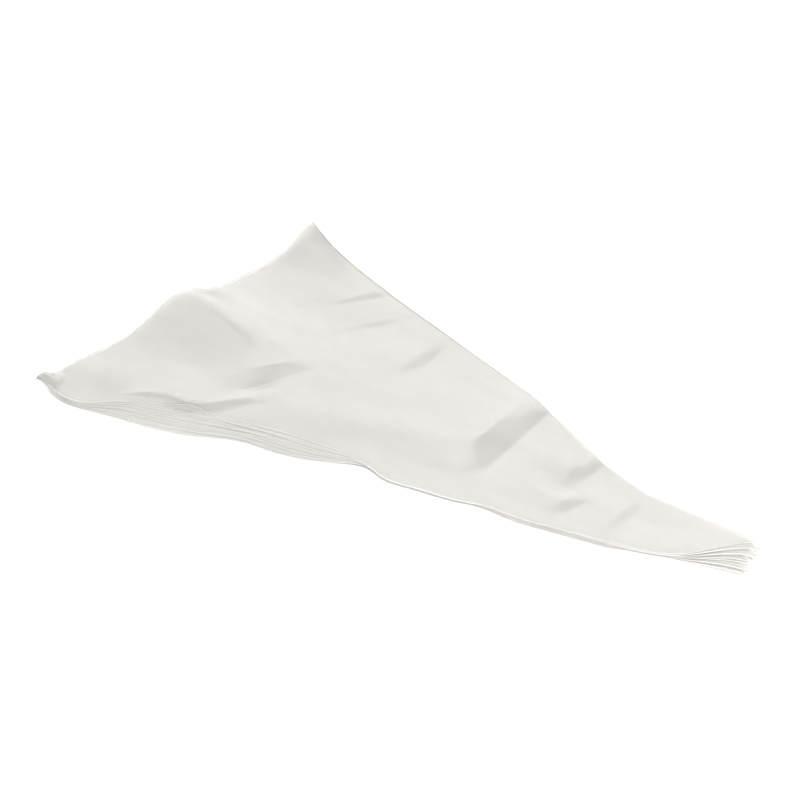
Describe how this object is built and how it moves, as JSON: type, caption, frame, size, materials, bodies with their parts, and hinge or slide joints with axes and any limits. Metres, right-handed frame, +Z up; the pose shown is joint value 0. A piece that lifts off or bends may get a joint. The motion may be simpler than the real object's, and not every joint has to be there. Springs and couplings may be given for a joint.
{
  "type": "piping bag stack",
  "caption": "Loose flat stack of clear disposable film piping bags, each a long welded triangle with an open mouth and a closed tip.",
  "frame": {"origin": "on the table, under the middle of the stack's outer box", "axes": "+X along the bags from the open mouths to the closed tips, +Z up off the table"},
  "size_m": [0.4686, 0.2744, 0.0134],
  "materials": {
    "film": "clear milky polyethylene film, soft gloss, faint buckles",
    "side_bead": "same film melted into a thin clear bead"
  },
  "bodies": {
    "bag_01": {"bag_01_lower_film": "film", "bag_01_upper_film": "film", "bag_01_near_weld": "side_bead", "bag_01_far_weld": "side_bead"},
    "bag_02": {"bag_02_lower_film": "film", "bag_02_upper_film": "film", "bag_02_near_weld": "side_bead", "bag_02_far_weld": "side_bead"},
    "bag_03": {"bag_03_lower_film": "film", "bag_03_upper_film": "film", "bag_03_near_weld": "side_bead", "bag_03_far_weld": "side_bead"},
    "bag_04": {"bag_04_lower_film": "film", "bag_04_upper_film": "film", "bag_04_near_weld": "side_bead", "bag_04_far_weld": "side_bead"},
    "bag_05": {"bag_05_lower_film": "film", "bag_05_upper_film": "film", "bag_05_near_weld": "side_bead", "bag_05_far_weld": "side_bead"},
    "bag_06": {"bag_06_lower_film": "film", "bag_06_upper_film": "film", "bag_06_near_weld": "side_bead", "bag_06_far_weld": "side_bead"},
    "bag_07": {"bag_07_lower_film": "film", "bag_07_upper_film": "film", "bag_07_near_weld": "side_bead", "bag_07_far_weld": "side_bead"},
    "bag_08": {"bag_08_lower_film": "film", "bag_08_upper_film": "film", "bag_08_near_weld": "side_bead", "bag_08_far_weld": "side_bead"},
    "bag_09": {"bag_09_lower_film": "film", "bag_09_upper_film": "film", "bag_09_near_weld": "side_bead", "bag_09_far_weld": "side_bead"},
    "bag_10": {"bag_10_lower_film": "film", "bag_10_upper_film": "film", "bag_10_near_weld": "side_bead", "bag_10_far_weld": "side_bead"}
  },
  "joints": [
    {"name": "bag_02_lift", "type": "slide", "parent": "bag_01", "child": "bag_02", "axis": [0, 0, 1], "range_m": [0, 0.03]},
    {"name": "bag_03_lift", "type": "slide", "parent": "bag_02", "child": "bag_03", "axis": [0, 0, 1], "range_m": [0, 0.03]},
    {"name": "bag_04_lift", "type": "slide", "parent": "bag_03", "child": "bag_04", "axis": [0, 0, 1], "range_m": [0, 0.03]},
    {"name": "bag_05_lift", "type": "slide", "parent": "bag_04", "child": "bag_05", "axis": [0, 0, 1], "range_m": [0, 0.03]},
    {"name": "bag_06_lift", "type": "slide", "parent": "bag_05", "child": "bag_06", "axis": [0, 0, 1], "range_m": [0, 0.03]},
    {"name": "bag_07_lift", "type": "slide", "parent": "bag_06", "child": "bag_07", "axis": [0, 0, 1], "range_m": [0, 0.03]},
    {"name": "bag_08_lift", "type": "slide", "parent": "bag_07", "child": "bag_08", "axis": [0, 0, 1], "range_m": [0, 0.03]},
    {"name": "bag_09_lift", "type": "slide", "parent": "bag_08", "child": "bag_09", "axis": [0, 0, 1], "range_m": [0, 0.03]},
    {"name": "bag_10_lift", "type": "slide", "parent": "bag_09", "child": "bag_10", "axis": [0, 0, 1], "range_m": [0, 0.03]}
  ]
}
